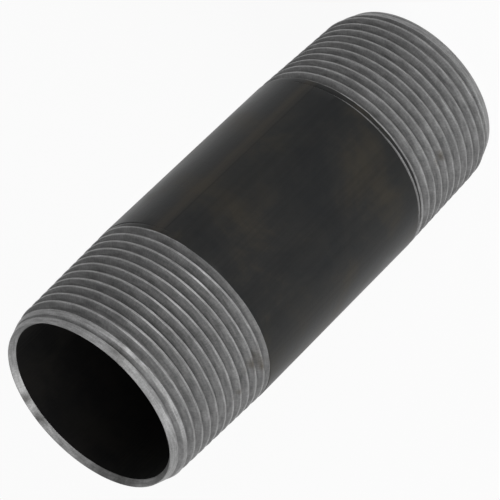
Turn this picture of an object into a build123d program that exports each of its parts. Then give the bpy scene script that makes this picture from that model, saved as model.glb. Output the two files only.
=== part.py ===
from build123d import *
from math import atan, cos, degrees, radians, tan
import os

# Pipe, all lengths in millimetres
length = 101.6
outside_diameter = 42.16
wall = 3.0

# Right-hand taper threads
threads_per_inch = 11.5
diameter_taper = 1 / 16
thread_angle = 60
thread_depth = 1.55
top_thread_length = 27.6
bottom_thread_length = 26.7
lead_in = 0.35

# Where each thread starts to run out, as an angle from the +X side, and the depth
# of its first root line below its own end face at that angle
top_start_angle = 90
top_root_depth = 1.789
bottom_start_angle = 0
bottom_root_depth = 0.939

# Both ends: reamed inside, bevelled outside, with a narrow lip left between
reamed_width = 0.85
reamed_depth = 1.1
lip_width = 0.15
bevel_angle = 19

# Sizes that follow from those above
body_radius = outside_diameter / 2
bore_radius = body_radius - wall
pitch = 25.4 / threads_per_inch
taper = diameter_taper / 2
lip_radius = bore_radius + reamed_width
bevel_radius = lip_radius + lip_width


def crest_radius(depth, thread_length):
    """Radius over the thread's crests at a depth below the end face."""
    return body_radius - (thread_length - depth) * taper


def end_outline(thread_length):
    """Radius and depth of an end's corners, from its bore out to the plain body."""
    bevel_height = crest_radius(0, thread_length) - bevel_radius
    bevel_depth = bevel_height / (tan(radians(bevel_angle)) - taper)
    return [
        (bore_radius, reamed_depth),
        (lip_radius, 0),
        (bevel_radius, 0),
        (crest_radius(bevel_depth, thread_length), bevel_depth),
        (body_radius, thread_length),
    ]


def blank():
    """The pipe with its ends reamed, bevelled and tapered, before the threads are cut."""
    bottom = [(radius, 0, depth) for radius, depth in end_outline(bottom_thread_length)]
    top = [(radius, 0, length - depth) for radius, depth in end_outline(top_thread_length)]
    section = Polyline(*bottom, *reversed(top), close=True)
    return revolve(make_face(section), Axis.Z)


def tapered_turn(radius, depth, growth):
    """One turn of a right-hand helix whose radius grows with its depth."""
    slope = degrees(atan(growth))
    turn = Edge.make_helix(pitch / cos(radians(slope)), pitch, radius, angle=slope)
    return turn.moved(Location((0, 0, depth)))


def groove(thread_length, root_depth, start_angle):
    """The vee groove of one thread, for an end face at height 0.

    Its first two turns come in gradually, so that the lip stays whole, and its last one runs out.
    """
    reach = thread_depth + 0.15
    half_width = reach * tan(radians(thread_angle / 2))
    full_turns = int((thread_length - root_depth) / pitch) - 1
    growths = [taper - lead_in / pitch] * 2 + [taper] * full_turns + [taper + reach / pitch]
    depth = root_depth - pitch
    radius = crest_radius(depth, thread_length) - thread_depth + 2 * lead_in

    turns = []
    sides = []
    for growth in growths:
        root = tapered_turn(radius, depth, growth)
        lower = tapered_turn(radius + reach, depth - half_width, growth)
        upper = tapered_turn(radius + reach, depth + half_width, growth)
        turns.append((root, lower, upper))
        sides.append(Face.make_surface_from_curves(root, lower))
        sides.append(Face.make_surface_from_curves(lower, upper))
        sides.append(Face.make_surface_from_curves(upper, root))
        depth += pitch
        radius += growth * pitch

    start = Face(Wire.make_polygon([edge @ 0 for edge in turns[0]]))
    end = Face(Wire.make_polygon([edge @ 1 for edge in turns[-1]]))
    return Solid(Shell([start, *sides, end])).rotate(Axis.Z, start_angle)


bottom_groove = groove(bottom_thread_length, bottom_root_depth, bottom_start_angle)
top_groove = groove(top_thread_length, top_root_depth, top_start_angle)
top_groove = top_groove.rotate(Axis.X, 180).moved(Location((0, 0, length)))
pipe_nipple = blank() - bottom_groove - top_groove

os.makedirs("parts", exist_ok=True)
export_step(pipe_nipple, "parts/pipe_nipple.step")
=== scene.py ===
import math

import bmesh
import bpy
import numpy as np
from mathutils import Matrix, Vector


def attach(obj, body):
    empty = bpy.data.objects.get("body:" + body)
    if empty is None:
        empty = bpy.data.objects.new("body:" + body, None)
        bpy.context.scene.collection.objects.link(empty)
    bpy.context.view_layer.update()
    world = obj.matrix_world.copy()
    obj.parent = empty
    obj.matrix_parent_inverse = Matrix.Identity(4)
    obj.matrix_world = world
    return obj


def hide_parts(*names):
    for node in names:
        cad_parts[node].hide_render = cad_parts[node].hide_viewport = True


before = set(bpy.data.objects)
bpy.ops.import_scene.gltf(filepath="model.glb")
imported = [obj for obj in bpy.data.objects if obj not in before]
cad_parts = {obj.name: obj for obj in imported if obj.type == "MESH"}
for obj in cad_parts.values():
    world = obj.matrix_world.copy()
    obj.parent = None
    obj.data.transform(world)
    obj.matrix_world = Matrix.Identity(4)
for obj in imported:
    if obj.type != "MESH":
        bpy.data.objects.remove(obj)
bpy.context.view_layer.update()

# The pipe and its threads, in millimetres
LENGTH = 101.6
BODY_RADIUS = 21.08
BORE_RADIUS = 18.08
PITCH = 25.4 / 11.5
TAPER = 1 / 32
THREAD_DEPTH = 1.55
LEAD_IN = 0.35
RUN_OUT = THREAD_DEPTH + 0.15
FLANK_SLOPE = 1 / math.tan(math.radians(30))
ROOT_ROUNDING = 0.03
CREST_WEAR = 0.035

# The ends: reamed inside, a narrow lip, bevelled outside
REAMED_WIDTH = 0.85
REAMED_DEPTH = 1.1
LIP_WIDTH = 0.15
LIP_RADIUS = BORE_RADIUS + REAMED_WIDTH
BEVEL_RADIUS = LIP_RADIUS + LIP_WIDTH
BEVEL_SLOPE = math.tan(math.radians(19))

# Thread length, and the angle where it starts to run out with the depth of its first root there
BOTTOM = {"length": 26.7, "root_depth": 0.939, "start": 0.0}
TOP = {"length": 27.6, "root_depth": 1.789, "start": math.pi / 2}

# Bruised crests: depth below the end face, angle round the end, reach and depth of the bruise
TOP_BRUISES = [
    (23.4, 138.0, 1.2, 0.20),
    (24.9, 145.0, 0.8, 0.16),
    (18.6, 152.0, 0.6, 0.12),
    (12.3, 98.0, 0.7, 0.10),
    (5.6, 108.0, 0.5, 0.14),
    (3.4, 76.0, 0.6, 0.12),
    (3.0, 92.0, 0.5, 0.12),
    (3.3, 103.0, 0.4, 0.14),
]
BOTTOM_BRUISES = [
    (17.8, 230.0, 1.0, 0.20),
    (16.9, 221.0, 0.8, 0.16),
    (8.6, 262.0, 0.7, 0.10),
    (12.0, 96.0, 0.9, 0.14),
]

# How far short of a thread's end the lacquer stops, and the fineness of the mesh
LACQUER_EDGE = 0.8
COLUMNS = 256
SHARP_EDGE = math.radians(24)


# The turned shape

def crest_radius(depth, end):
    """Radius over the crests at a depth below the end face."""
    return BODY_RADIUS - np.clip(end["length"] - depth, 0, None) * TAPER


def blank_radius(depth, end):
    """Radius before the thread is cut: the taper, and the bevel near the end face."""
    return np.minimum(crest_radius(depth, end), BEVEL_RADIUS + depth * BEVEL_SLOPE)


def end_surface(depth, angle, end, bruises):
    """Radius of a threaded end at a depth below its face and an angle in radians."""
    blank = blank_radius(depth, end)
    part_turn = (angle - end["start"]) / (2 * math.pi)
    turn = np.round((depth - end["root_depth"]) / PITCH - part_turn) + part_turn
    centre = end["root_depth"] + turn * PITCH
    full_turns = (end["length"] - end["root_depth"]) // PITCH
    lift = LEAD_IN * np.clip(1 - turn, 0, None)
    lift = lift + RUN_OUT * np.clip(turn - full_turns, 0, 1)
    root = BODY_RADIUS - (end["length"] - centre) * TAPER - THREAD_DEPTH + lift
    across = np.hypot(depth - centre, ROOT_ROUNDING) - ROOT_ROUNDING
    radius = np.minimum(root + across * FLANK_SLOPE, blank)
    for at_depth, at_angle, reach, dent in bruises:
        away = (angle - math.radians(at_angle) + math.pi) % (2 * math.pi) - math.pi
        distance = np.hypot(depth - at_depth, away * BODY_RADIUS) / reach
        radius = np.minimum(radius, blank - dent * np.exp(-distance ** 2))
    return radius


def uneven_wear(shape, seed):
    """Smooth uneven numbers from 0 to 1, mostly small, over a grid that closes round the pipe."""
    rng = np.random.default_rng(seed)
    rows, columns = shape
    value = np.zeros(shape)
    for coarse, share in ((32, 0.5), (96, 0.5)):
        knots = rng.random((rows, coarse))
        knots = np.concatenate([knots, knots[:, :1]], axis=1)
        place = np.linspace(0, coarse, columns, endpoint=False)
        low = place.astype(int)
        part = place - low
        value += share * (knots[:, low] * (1 - part) + knots[:, low + 1] * part)
    return np.clip(value * 2 - 0.9, 0, 1)


def thread_rows():
    """Places of the mesh rows across one pitch, close together at the root and the crest."""
    half_groove = THREAD_DEPTH / FLANK_SLOPE / PITCH
    side = [0.02, 0.14, 0.27, half_groove - 0.012, half_groove + 0.008]
    return np.array([-s for s in reversed(side)] + [0.0] + side + [0.5])


def end_grid(end, bruises, seed):
    """Depth and radius of every point of an end, one row along each thread line."""
    rows = thread_rows()
    turns = int(end["length"] / PITCH) + 4
    steps = np.concatenate([k + rows for k in range(-2, turns)])
    angle = 2 * math.pi * np.arange(COLUMNS) / COLUMNS
    part_turn = (angle - end["start"]) / (2 * math.pi)
    depth = end["root_depth"] + (steps[:, None] + part_turn[None, :]) * PITCH
    last = end["length"] + 0.3 * PITCH
    depth = np.clip(depth, 0, last)

    bevel_foot = (crest_radius(0, end) - BEVEL_RADIUS) / (BEVEL_SLOPE - TAPER)
    for line in (bevel_foot, end["length"]):
        nearest = np.abs(depth - line).argmin(axis=0)
        depth[nearest, np.arange(COLUMNS)] = line
    radius = end_surface(depth, np.broadcast_to(angle, depth.shape), end, bruises)
    cut_away = blank_radius(depth, end) - radius
    worn = (cut_away < 0.01) & (depth > 0.01) & (depth < end["length"] - 0.01)
    radius = radius - CREST_WEAR * uneven_wear(depth.shape, seed) * worn
    radius = np.where(depth >= last, BODY_RADIUS, radius)
    return depth, radius, len(rows)


def add_grid(verts, faces, points, shift):
    """Adds a grid whose last column meets the first one, shifted by some rows."""
    base = len(verts)
    rows, columns = points.shape[:2]
    verts.extend(map(tuple, points.reshape(-1, 3)))
    for i in range(columns):
        after = (i + 1) % columns
        step = shift if after == 0 else 0
        for j in range(rows - 1):
            if 0 <= j + step < rows - 1:
                faces.append((
                    base + j * columns + i,
                    base + (j + step) * columns + after,
                    base + (j + step + 1) * columns + after,
                    base + (j + 1) * columns + i,
                ))


def nipple_mesh():
    """The whole nipple as one closed mesh, in millimetres."""
    verts, faces = [], []
    angle = 2 * math.pi * np.arange(COLUMNS) / COLUMNS

    depth, radius, shift = end_grid(BOTTOM, BOTTOM_BRUISES, 3)
    bottom = np.stack([radius * np.cos(angle), radius * np.sin(angle), depth], axis=-1)
    add_grid(verts, faces, bottom, shift)

    depth, radius, shift = end_grid(TOP, TOP_BRUISES, 5)
    top = np.stack([radius * np.cos(-angle), radius * np.sin(-angle), LENGTH - depth], axis=-1)
    add_grid(verts, faces, top, shift)

    def ring(ring_radius, height):
        return np.stack([ring_radius * np.cos(angle), ring_radius * np.sin(angle),
                         np.full(COLUMNS, height)], axis=-1)

    low = bottom[-1, :, 2].max()
    high = top[-1, :, 2].min()
    body = [ring(BODY_RADIUS, height) for height in np.linspace(low, high, 25)]
    add_grid(verts, faces, np.stack(body), 0)

    bore = np.linspace(REAMED_DEPTH, LENGTH - REAMED_DEPTH, 13)
    inside = [ring(BEVEL_RADIUS, 0), ring(LIP_RADIUS, 0)]
    inside += [ring(BORE_RADIUS, height) for height in bore]
    inside += [ring(LIP_RADIUS, LENGTH), ring(BEVEL_RADIUS, LENGTH)]
    add_grid(verts, faces, np.stack(inside), 0)
    return np.array(verts), faces


def mark_surface(mesh):
    """Notes at each point how deep in a groove it is, and how far onto bare steel."""
    place = np.array([v.co for v in mesh.vertices]) * 1000
    radius = np.hypot(place[:, 0], place[:, 1])
    on_top = place[:, 2] > LENGTH / 2
    depth = np.where(on_top, LENGTH - place[:, 2], place[:, 2])
    blank = np.where(on_top, blank_radius(depth, TOP), blank_radius(depth, BOTTOM))
    thread_length = np.where(on_top, TOP["length"], BOTTOM["length"])
    groove = np.clip((blank - radius) / THREAD_DEPTH, 0, 1)
    groove[radius < LIP_RADIUS + 0.01] = 0
    bare = np.maximum(thread_length - LACQUER_EDGE - depth, (BODY_RADIUS - radius) * 8 - 1)
    for name, values in (("groove_depth", groove), ("bare_steel", np.clip(bare, -2, 2))):
        mesh.attributes.new(name, "FLOAT", "POINT").data.foreach_set("value", values)


def shown_nipple():
    """Makes the mesh object, with clean normals, and the bore's faces apart from the rest."""
    verts, faces = nipple_mesh()
    mesh = bpy.data.meshes.new("pipe_nipple_turned")
    mesh.from_pydata((verts / 1000).tolist(), [], faces)
    bm = bmesh.new()
    bm.from_mesh(mesh)
    bmesh.ops.remove_doubles(bm, verts=bm.verts, dist=2e-6)
    bmesh.ops.dissolve_degenerate(bm, edges=bm.edges, dist=1e-7)
    bmesh.ops.recalc_face_normals(bm, faces=bm.faces)
    for face in bm.faces:
        face.smooth = True
        centre = face.calc_center_median() * 1000
        if math.hypot(centre.x, centre.y) < BORE_RADIUS + 0.02:
            face.material_index = 1
    for edge in bm.edges:
        if len(edge.link_faces) == 2 and edge.calc_face_angle(0) > SHARP_EDGE:
            edge.smooth = False
    bm.to_mesh(mesh)
    bm.free()
    mark_surface(mesh)
    nipple = bpy.data.objects.new("pipe_nipple_turned", mesh)
    bpy.context.scene.collection.objects.link(nipple)
    return nipple


# Shader building blocks

def add_node(tree, kind, **values):
    """Adds a node and sets its properties and unlinked inputs by name."""
    node = tree.nodes.new(kind)
    for name, value in values.items():
        if name in node.inputs:
            node.inputs[name].default_value = value
        else:
            setattr(node, name, value)
    return node


def math_node(tree, operation, *inputs):
    node = tree.nodes.new("ShaderNodeMath")
    node.operation = operation
    for socket, value in zip(node.inputs, inputs):
        if isinstance(value, (int, float)):
            socket.default_value = value
        else:
            tree.links.new(value, socket)
    return node.outputs[0]


def new_group(name, inputs, output):
    """An empty shader group with named inputs and one output value."""
    group = bpy.data.node_groups.new(name, "ShaderNodeTree")
    for label, kind, default in inputs:
        socket = group.interface.new_socket(name=label, in_out="INPUT", socket_type=kind)
        socket.default_value = default
    group.interface.new_socket(name=output, in_out="OUTPUT", socket_type="NodeSocketFloat")
    return group, group.nodes.new("NodeGroupInput"), group.nodes.new("NodeGroupOutput")


def ramp(tree, value, stops):
    """Colour ramp from (position, colour or grey) stops."""
    node = tree.nodes.new("ShaderNodeValToRGB")
    elements = node.color_ramp.elements
    while len(elements) < len(stops):
        elements.new(0.5)
    for element, (position, colour) in zip(elements, stops):
        element.position = position
        if isinstance(colour, (int, float)):
            colour = (colour, colour, colour)
        element.color = (*colour, 1)
    tree.links.new(value, node.inputs[0])
    return node.outputs[0]


def mix_colour(tree, factor, first, second, blend="MIX"):
    node = tree.nodes.new("ShaderNodeMix")
    node.data_type = "RGBA"
    node.blend_type = blend
    for socket, value in ((node.inputs[0], factor), (node.inputs[6], first), (node.inputs[7], second)):
        if isinstance(value, (int, float)):
            socket.default_value = value
        elif isinstance(value, tuple):
            socket.default_value = (*value, 1)
        else:
            tree.links.new(value, socket)
    return node.outputs[2]


def streaks_group():
    """Marks drawn out round the pipe or along it, by stretching the place before a noise."""
    group, source, result = new_group(
        "drawn_out_marks",
        [("Around", "NodeSocketFloat", 1.0), ("Along", "NodeSocketFloat", 1.0),
         ("Detail", "NodeSocketFloat", 4.0)],
        "Marks",
    )
    place = group.nodes.new("ShaderNodeTexCoord").outputs["Object"]
    axes = group.nodes.new("ShaderNodeSeparateXYZ")
    group.links.new(place, axes.inputs[0])
    turn = math_node(group, "ARCTAN2", axes.outputs[1], axes.outputs[0])
    east = math_node(group, "COSINE", turn)
    north = math_node(group, "SINE", turn)
    spread = group.nodes.new("ShaderNodeCombineXYZ")
    for socket, part, stretch in ((0, east, "Around"), (1, north, "Around"), (2, axes.outputs[2], "Along")):
        stretched = math_node(group, "MULTIPLY", part, source.outputs[stretch])
        group.links.new(stretched, spread.inputs[socket])
    marks = add_node(group, "ShaderNodeTexNoise", Scale=1.0, Roughness=0.6)
    group.links.new(spread.outputs[0], marks.inputs["Vector"])
    group.links.new(source.outputs["Detail"], marks.inputs["Detail"])
    group.links.new(marks.outputs["Fac"], result.inputs["Marks"])
    return group


def blotches_group():
    """Soft uneven patches, the same in every direction."""
    group, source, result = new_group(
        "uneven_patches",
        [("Size", "NodeSocketFloat", 60.0), ("Sharpness", "NodeSocketFloat", 0.5)],
        "Patches",
    )
    place = group.nodes.new("ShaderNodeTexCoord").outputs["Object"]
    patches = add_node(group, "ShaderNodeTexNoise", Detail=6.0, Roughness=0.62, Distortion=0.4)
    group.links.new(place, patches.inputs["Vector"])
    group.links.new(source.outputs["Size"], patches.inputs["Scale"])
    centred = math_node(group, "SUBTRACT", patches.outputs["Fac"], 0.5)
    gain = math_node(group, "MULTIPLY", source.outputs["Sharpness"], 8.0)
    stretched = math_node(group, "MULTIPLY_ADD", centred, gain, 0.5)
    clamped = group.nodes.new("ShaderNodeClamp")
    group.links.new(stretched, clamped.inputs[0])
    group.links.new(clamped.outputs[0], result.inputs["Patches"])
    return group


def marked_place_group():
    """A ragged mark round one place of the object, one at its middle and nothing beyond its reach."""
    group, source, result = new_group(
        "marked_place",
        [("Place", "NodeSocketVector", (0, 0, 0)), ("Reach", "NodeSocketFloat", 0.005),
         ("Length along", "NodeSocketFloat", 1.0)],
        "Mark",
    )
    place = group.nodes.new("ShaderNodeTexCoord").outputs["Object"]
    away = add_node(group, "ShaderNodeVectorMath", operation="SUBTRACT")
    group.links.new(place, away.inputs[0])
    group.links.new(source.outputs["Place"], away.inputs[1])
    axes = group.nodes.new("ShaderNodeSeparateXYZ")
    group.links.new(away.outputs[0], axes.inputs[0])
    near = group.nodes.new("ShaderNodeCombineXYZ")
    group.links.new(axes.outputs[0], near.inputs[0])
    group.links.new(axes.outputs[1], near.inputs[1])
    along = math_node(group, "DIVIDE", axes.outputs[2], source.outputs["Length along"])
    group.links.new(along, near.inputs[2])
    distance = add_node(group, "ShaderNodeVectorMath", operation="LENGTH")
    group.links.new(near.outputs[0], distance.inputs[0])
    share = math_node(group, "DIVIDE", distance.outputs["Value"], source.outputs["Reach"])
    ragged = add_node(group, "ShaderNodeTexNoise", Scale=420.0, Detail=5.0, Roughness=0.65)
    group.links.new(place, ragged.inputs["Vector"])
    rough_edge = math_node(group, "MULTIPLY_ADD", ragged.outputs["Fac"], 1.6, -0.8)
    total = math_node(group, "ADD", share, rough_edge)
    left = math_node(group, "SUBTRACT", 1.0, total)
    clamped = group.nodes.new("ShaderNodeClamp")
    group.links.new(left, clamped.inputs[0])
    group.links.new(clamped.outputs[0], result.inputs["Mark"])
    return group


def side_band_group():
    """A band along the pipe on one side of it, with softly wandering edges."""
    group, source, result = new_group(
        "side_band",
        [("Side X", "NodeSocketFloat", 1.0), ("Side Y", "NodeSocketFloat", 0.0),
         ("Width", "NodeSocketFloat", 0.2), ("Wander", "NodeSocketFloat", 0.02)],
        "Band",
    )
    place = group.nodes.new("ShaderNodeTexCoord").outputs["Object"]
    axes = group.nodes.new("ShaderNodeSeparateXYZ")
    group.links.new(place, axes.inputs[0])
    across = math_node(group, "MULTIPLY", axes.outputs[1], source.outputs["Side X"])
    other = math_node(group, "MULTIPLY", axes.outputs[0], source.outputs["Side Y"])
    across = math_node(group, "SUBTRACT", across, other)
    towards = math_node(group, "MULTIPLY", axes.outputs[0], source.outputs["Side X"])
    other = math_node(group, "MULTIPLY", axes.outputs[1], source.outputs["Side Y"])
    towards = math_node(group, "ADD", towards, other)
    turn = math_node(group, "ARCTAN2", across, towards)
    wave = add_node(group, "ShaderNodeTexNoise", Scale=45.0, Detail=4.0)
    group.links.new(place, wave.inputs["Vector"])
    centred = math_node(group, "SUBTRACT", wave.outputs["Fac"], 0.5)
    turn = math_node(group, "MULTIPLY_ADD", centred, source.outputs["Wander"], turn)
    share = math_node(group, "DIVIDE", turn, source.outputs["Width"])
    squared = math_node(group, "MULTIPLY", share, share)
    fall = math_node(group, "MULTIPLY", squared, -1.0)
    band = math_node(group, "EXPONENT", fall)
    group.links.new(band, result.inputs["Band"])
    return group


def use_group(tree, group, **values):
    """Uses a group with some inputs set. An underscore in a name stands for a space."""
    node = tree.nodes.new("ShaderNodeGroup")
    node.node_tree = group
    for name, value in values.items():
        node.inputs[name.replace("_", " ")].default_value = value
    return node.outputs[0]


def new_material(name):
    material = bpy.data.materials.new(name)
    material.use_nodes = True
    tree = material.node_tree
    return material, tree, tree.nodes["Principled BSDF"]


def bump(tree, shader, height, strength, distance):
    node = add_node(tree, "ShaderNodeBump", Strength=strength, Distance=distance)
    tree.links.new(height, node.inputs["Height"])
    tree.links.new(node.outputs[0], shader.inputs["Normal"])


def on_side(angle_degrees, radius, height):
    """A place on the pipe in metres, from an angle round it and a radius and height in millimetres."""
    angle = math.radians(angle_degrees)
    return (radius * math.cos(angle) / 1000, radius * math.sin(angle) / 1000, height / 1000)


# Materials

def lacquer_and_cut_steel(groups):
    """Black lacquer on the plain middle, and steel cut bare on the threads and ends."""
    streaks, patches, marked_place, side_band = groups
    material, tree, shader = new_material("lacquer_and_cut_steel")

    def band(degrees, width, wander=0.02):
        side = math.radians(degrees)
        return use_group(tree, side_band, Side_X=math.cos(side), Side_Y=math.sin(side),
                         Width=math.radians(width), Wander=wander)

    def mark(degrees, height, reach, length_along=1.0, radius=BODY_RADIUS):
        return use_group(tree, marked_place, Place=on_side(degrees, radius, height),
                         Reach=reach / 1000, Length_along=length_along)

    def noted(name):
        return add_node(tree, "ShaderNodeAttribute", attribute_name=name).outputs["Fac"]

    # Bare steel: lighter and more metallic on the crests, darker and duller towards the roots, with lines
    # and chatter from the die
    groove = noted("groove_depth")
    tool_lines = use_group(tree, streaks, Around=6.0, Along=3000.0, Detail=5.0)
    chatter = use_group(tree, streaks, Around=70.0, Along=2500.0, Detail=4.0)
    cloud = use_group(tree, patches, Size=150.0, Sharpness=0.45)
    steel = ramp(tree, groove, [(0.0, 0.36), (0.03, 0.34), (0.10, 0.28),
                                (0.8, 0.24), (0.93, 0.17), (1.0, 0.07)])
    bright_metal = ramp(tree, groove, [(0.0, 0.45), (0.12, 0.13), (1.0, 0.10)])
    steel = mix_colour(tree, 0.75, steel, ramp(tree, tool_lines, [(0.32, 0.4), (0.68, 1.0)]), "MULTIPLY")
    steel = mix_colour(tree, 0.4, steel, ramp(tree, chatter, [(0.35, 0.4), (0.65, 1.0)]), "MULTIPLY")
    steel = mix_colour(tree, 0.5, steel, ramp(tree, cloud, [(0.0, 0.75), (1.0, 1.0)]), "MULTIPLY")
    steel_gloss = ramp(tree, tool_lines, [(0.3, 0.34), (0.7, 0.46)])

    # Brown stains on the last turns of the threads
    brown = (0.055, 0.043, 0.026)
    for stain in (mark(-138, 78.1, 2.4, 1.3), mark(-145, 76.4, 1.6, 1.2),
                  mark(-148, 84.0, 1.3, 1.6), mark(-129, 17.6, 1.6, 1.2)):
        steel = mix_colour(tree, math_node(tree, "MULTIPLY", stain, 0.7), steel, brown)

    # Grime and dark nicks on the rim of the top end; the wide mark at 135 degrees is painted shade where
    # the rim turns away from the key lamp
    rim_grime_and_painted_shade = (0.030, 0.029, 0.027)
    for patch in (mark(135, 101.2, 9.0, 1.0, LIP_RADIUS), mark(75, 101.2, 2.6, 1.0, LIP_RADIUS),
                  mark(-84, 101.2, 4.5, 1.0, LIP_RADIUS), mark(61, 101.2, 1.8, 1.0, LIP_RADIUS)):
        steel = mix_colour(tree, math_node(tree, "MULTIPLY", patch, 0.8), steel, rim_grime_and_painted_shade)

    # Black lacquer: cloudy and a little brown, with streaks along the weld and a thin dark seam
    lacquer_cloud = use_group(tree, patches, Size=55.0, Sharpness=0.35)
    long_streaks = use_group(tree, streaks, Around=26.0, Along=9.0, Detail=5.0)
    fine_grain = use_group(tree, patches, Size=1100.0, Sharpness=0.4)
    lacquer = ramp(tree, lacquer_cloud, [(0.25, (0.0155, 0.0165, 0.0172)), (0.6, (0.0205, 0.0208, 0.0202)),
                                         (0.95, (0.032, 0.0290, 0.0235))])
    lacquer = mix_colour(tree, 0.5, lacquer, ramp(tree, long_streaks, [(0.3, 0.6), (0.7, 1.0)]), "MULTIPLY")
    weld = band(-46, 4.0, 0.05)
    weld_streaks = math_node(tree, "MULTIPLY", weld, long_streaks)
    lacquer = mix_colour(tree, weld_streaks, lacquer, (0.040, 0.034, 0.026))
    seam = band(-50.5, 0.45, 0.01)
    lacquer = mix_colour(tree, math_node(tree, "MULTIPLY", seam, 0.4), lacquer, (0.004, 0.004, 0.004))
    lacquer_gloss = ramp(tree, lacquer_cloud, [(0.0, 0.30), (1.0, 0.44)])

    # The lacquer ends where the die began to cut
    bare = noted("bare_steel")
    edge = math_node(tree, "MULTIPLY_ADD", cloud, 0.16, bare)
    is_steel = ramp(tree, math_node(tree, "MULTIPLY_ADD", edge, 4.0, 0.35), [(0.3, 0.0), (0.7, 1.0)])
    tree.links.new(mix_colour(tree, is_steel, lacquer, steel), shader.inputs["Base Color"])
    tree.links.new(math_node(tree, "MULTIPLY", is_steel, bright_metal), shader.inputs["Metallic"])
    tree.links.new(mix_colour(tree, is_steel, lacquer_gloss, steel_gloss), shader.inputs["Roughness"])
    shader.inputs["Specular IOR Level"].default_value = 0.10
    lines = math_node(tree, "MULTIPLY", tool_lines, is_steel)
    height = math_node(tree, "MULTIPLY_ADD", fine_grain, 0.25, lines)
    height = math_node(tree, "MULTIPLY_ADD", math_node(tree, "MULTIPLY", chatter, is_steel), 0.6, height)
    bump(tree, shader, height, 0.6, 0.00004)
    return material


def bore_scale_and_painted_shade(groups):
    """Dark mill scale and oil inside the pipe, painted near black as the shade deep in the bore."""
    streaks, patches = groups[:2]
    material, tree, shader = new_material("bore_scale_and_painted_shade")
    cloud = use_group(tree, patches, Size=120.0, Sharpness=0.5)
    along = use_group(tree, streaks, Around=40.0, Along=12.0, Detail=5.0)
    # Near-black colour: partly dark scale, partly painted shade of the bore
    colour = ramp(tree, cloud, [(0.2, (0.0025, 0.0025, 0.0025)), (0.9, (0.006, 0.0055, 0.005))])
    tree.links.new(colour, shader.inputs["Base Color"])
    tree.links.new(ramp(tree, along, [(0.2, 0.55), (0.8, 0.85)]), shader.inputs["Roughness"])
    shader.inputs["Specular IOR Level"].default_value = 0.12
    bump(tree, shader, cloud, 0.2, 0.0001)
    return material


# The studio

def white_rays(tree):
    """One where a ray comes from the camera, a reflection or glass, so that it meets plain white."""
    path = tree.nodes.new("ShaderNodeLightPath")
    total = math_node(tree, "ADD", path.outputs["Is Camera Ray"], path.outputs["Is Glossy Ray"])
    total = math_node(tree, "ADD", total, path.outputs["Is Transmission Ray"])
    return math_node(tree, "MINIMUM", total, 1.0)


def studio_floor():
    """Pale floor that keeps a faint shadow under the nipple."""
    mesh = bpy.data.meshes.new("studio_floor")
    mesh.from_pydata([(-3, -3, 0), (3, -3, 0), (3, 3, 0), (-3, 3, 0)], [], [(0, 1, 2, 3)])
    floor = bpy.data.objects.new("studio_floor", mesh)
    bpy.context.scene.collection.objects.link(floor)
    material = bpy.data.materials.new("studio_paper")
    material.use_nodes = True
    tree = material.node_tree
    tree.nodes.clear()
    paper = add_node(tree, "ShaderNodeBsdfDiffuse", Color=(0.85, 0.85, 0.85, 1))
    glow = add_node(tree, "ShaderNodeEmission", Color=(1, 1, 1, 1), Strength=1.0)
    blend = tree.nodes.new("ShaderNodeMixShader")
    out = tree.nodes.new("ShaderNodeOutputMaterial")
    tree.links.new(math_node(tree, "MULTIPLY", white_rays(tree), 0.94), blend.inputs[0])
    tree.links.new(paper.outputs[0], blend.inputs[1])
    tree.links.new(glow.outputs[0], blend.inputs[2])
    tree.links.new(blend.outputs[0], out.inputs[0])
    mesh.materials.append(material)


def studio_world():
    world = bpy.data.worlds.new("studio_light")
    bpy.context.scene.world = world
    world.use_nodes = True
    tree = world.node_tree
    tree.nodes.clear()
    room = add_node(tree, "ShaderNodeBackground", Color=(1, 1, 1, 1), Strength=0.10)
    backdrop = add_node(tree, "ShaderNodeBackground", Color=(1, 1, 1, 1), Strength=1.0)
    blend = tree.nodes.new("ShaderNodeMixShader")
    out = tree.nodes.new("ShaderNodeOutputWorld")
    tree.links.new(white_rays(tree), blend.inputs[0])
    tree.links.new(room.outputs[0], blend.inputs[1])
    tree.links.new(backdrop.outputs[0], blend.inputs[2])
    tree.links.new(blend.outputs[0], out.inputs[0])


def soft_box(name, place, target, size, power):
    """A lamp with a soft rectangular face, turned towards a target."""
    light = bpy.data.lights.new(name, "AREA")
    light.shape = "RECTANGLE"
    light.size, light.size_y = size
    light.energy = power
    lamp = bpy.data.objects.new(name, light)
    lamp.location = place
    lamp.rotation_euler = (Vector(target) - Vector(place)).to_track_quat("-Z", "Y").to_euler()
    bpy.context.scene.collection.objects.link(lamp)


def photo_camera():
    """The camera where the photographer stood, turned so that the near end hangs to the lower left."""
    data = bpy.data.cameras.new("photo_camera")
    data.sensor_width = 36
    data.lens = 234.369
    camera = bpy.data.objects.new("photo_camera", data)
    camera.location = (0, -0.523919, 0.384993)
    camera.rotation_euler = [math.radians(v) for v in (-47.779807, 37.211576, -151.215916)]
    bpy.context.scene.collection.objects.link(camera)
    bpy.context.scene.camera = camera


groups = (streaks_group(), blotches_group(), marked_place_group(), side_band_group())
nipple = shown_nipple()
nipple.data.materials.append(lacquer_and_cut_steel(groups))
nipple.data.materials.append(bore_scale_and_painted_shade(groups))
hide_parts("pipe_nipple")
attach(nipple, "root")

photo_camera()
studio_floor()
studio_world()
soft_box("key_box", (-0.60, -0.30, 0.50), (0, 0, 0.05), (0.75, 0.75), 5.2)
soft_box("middle_strip", (0.06, -0.78, 0.38), (0, 0, 0.06), (0.08, 0.30), 1.1)
soft_box("low_strip", (0.18, -0.86, 0.10), (0, 0, 0.05), (0.10, 0.20), 2.4)
bpy.context.scene.view_settings.view_transform = "Standard"
